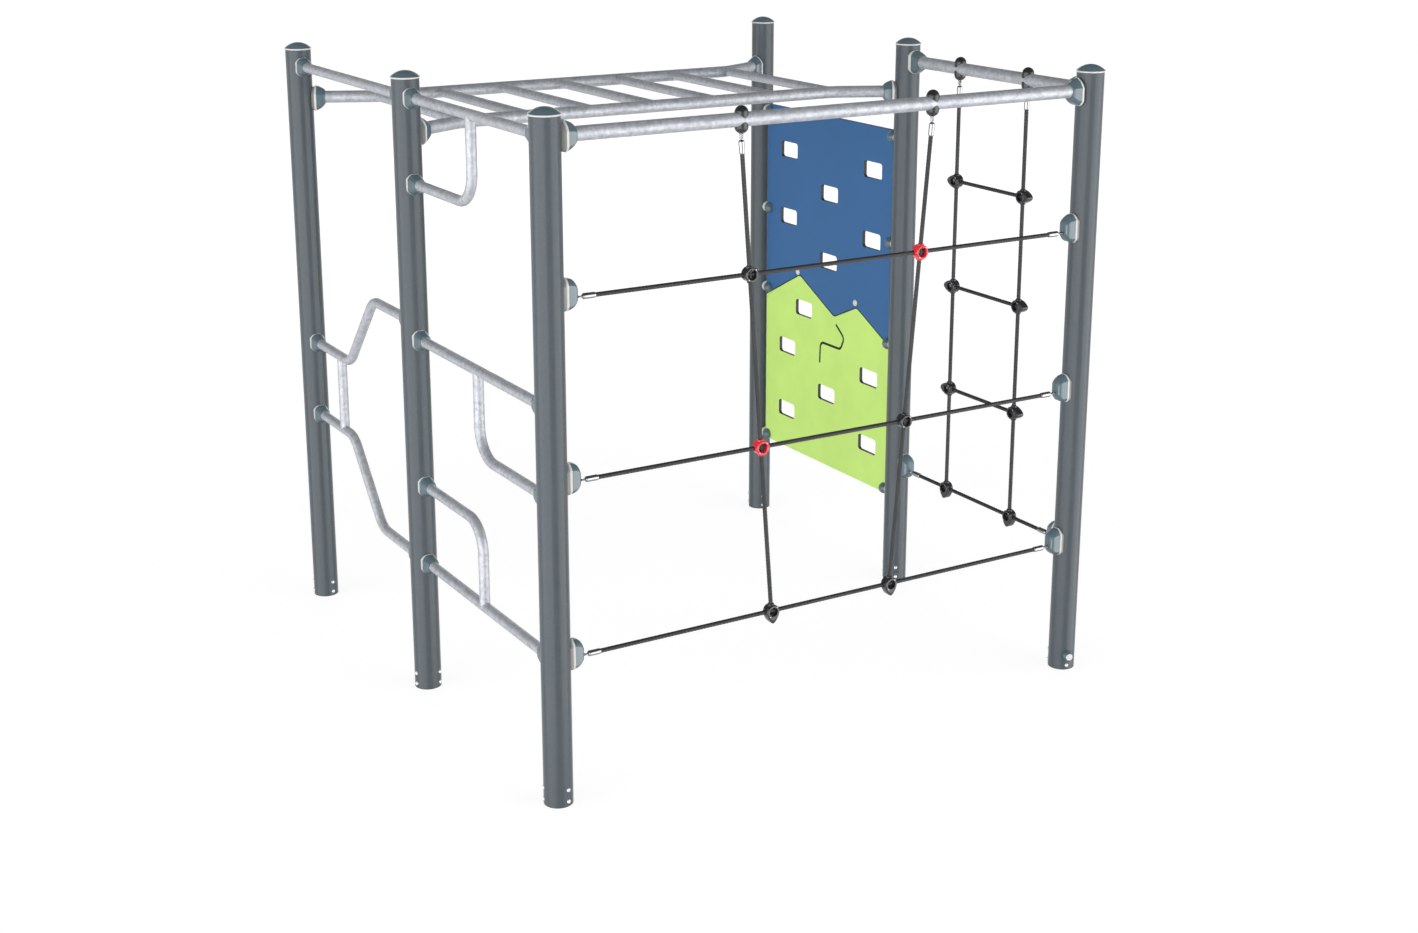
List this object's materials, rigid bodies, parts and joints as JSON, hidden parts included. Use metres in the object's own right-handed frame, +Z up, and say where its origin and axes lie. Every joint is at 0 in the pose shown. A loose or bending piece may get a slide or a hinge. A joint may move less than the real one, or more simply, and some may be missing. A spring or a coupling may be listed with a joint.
{
  "type": "playground climber",
  "caption": "Climbing frame of round posts with a horizontal ladder, top rails, bent bars, a two-part holed panel, a wide rope net and a narrow rope ladder net.",
  "frame": {"origin": "on the ground, at the middle of the plan of six posts", "axes": "+Z up, -Y towards the wide rope net, +X towards the side with the panels and the narrow net"},
  "size_m": [2.323, 2.323, 2.3603],
  "materials": {
    "powder_coated_steel": "satin dark grey powder coat",
    "blue_grey_plastic": "smooth blue-grey moulding",
    "galvanised_steel": "hot-dip galvanised, mottled",
    "black_rope": "stranded rope with black fittings",
    "red_plastic": "smooth red moulding",
    "blue_panel": "fine matt sheet",
    "green_panel": "fine matt sheet"
  },
  "bodies": {
    "root": {"blue_panel": "blue_panel", "bracket_front_rail_left": "blue_grey_plastic", "bracket_front_rail_right": "blue_grey_plastic", "bracket_ladder_middle_left": "blue_grey_plastic", "bracket_ladder_middle_right": "blue_grey_plastic", "bracket_ladder_rear_left": "blue_grey_plastic", "bracket_ladder_rear_right": "blue_grey_plastic", "bracket_low_bar_front": "blue_grey_plastic", "bracket_low_bar_hook": "blue_grey_plastic", "bracket_low_bar_rear": "blue_grey_plastic", "bracket_lower_crank_front": "blue_grey_plastic", "bracket_lower_crank_rear": "blue_grey_plastic", "bracket_lower_rope_left": "blue_grey_plastic", "bracket_lower_rope_right": "blue_grey_plastic", "bracket_middle_bar_front": "blue_grey_plastic", "bracket_middle_bar_hook": "blue_grey_plastic", "bracket_middle_bar_rear": "blue_grey_plastic", "bracket_middle_rope_left": "blue_grey_plastic", "bracket_middle_rope_right": "blue_grey_plastic", "bracket_rear_top_bar_front": "blue_grey_plastic", "bracket_rear_top_bar_rear": "blue_grey_plastic", "bracket_side_rail_front": "blue_grey_plastic", "bracket_side_rail_rear": "blue_grey_plastic", "bracket_side_rope_front": "blue_grey_plastic", "bracket_side_rope_rear": "blue_grey_plastic", "bracket_top_bar_front": "blue_grey_plastic", "bracket_top_bar_hook": "blue_grey_plastic", "bracket_top_bar_rear": "blue_grey_plastic", "bracket_upper_crank_front": "blue_grey_plastic", "bracket_upper_crank_rear": "blue_grey_plastic", "bracket_upper_rope_left": "blue_grey_plastic", "bracket_upper_rope_right": "blue_grey_plastic", "cap_front_left": "blue_grey_plastic", "cap_front_right": "blue_grey_plastic", "cap_middle_left": "blue_grey_plastic", "cap_middle_right": "blue_grey_plastic", "cap_rear_left": "blue_grey_plastic", "cap_rear_right": "blue_grey_plastic", "cranked_bars": "galvanised_steel", "front_net": "black_rope", "front_rail": "galvanised_steel", "green_panel": "green_panel", "low_bar": "galvanised_steel", "middle_bar": "galvanised_steel", "monkey_ladder": "galvanised_steel", "post_front_left": "powder_coated_steel", "post_front_right": "powder_coated_steel", "post_middle_left": "powder_coated_steel", "post_middle_right": "powder_coated_steel", "post_rear_left": "powder_coated_steel", "post_rear_right": "powder_coated_steel", "rear_top_bar": "galvanised_steel", "rope_ring_middle_left": "red_plastic", "rope_ring_middle_right": "black_rope", "rope_ring_upper_left": "black_rope", "rope_ring_upper_right": "red_plastic", "side_net": "black_rope", "side_rail": "galvanised_steel", "top_bar": "galvanised_steel"}
  },
  "joints": []
}
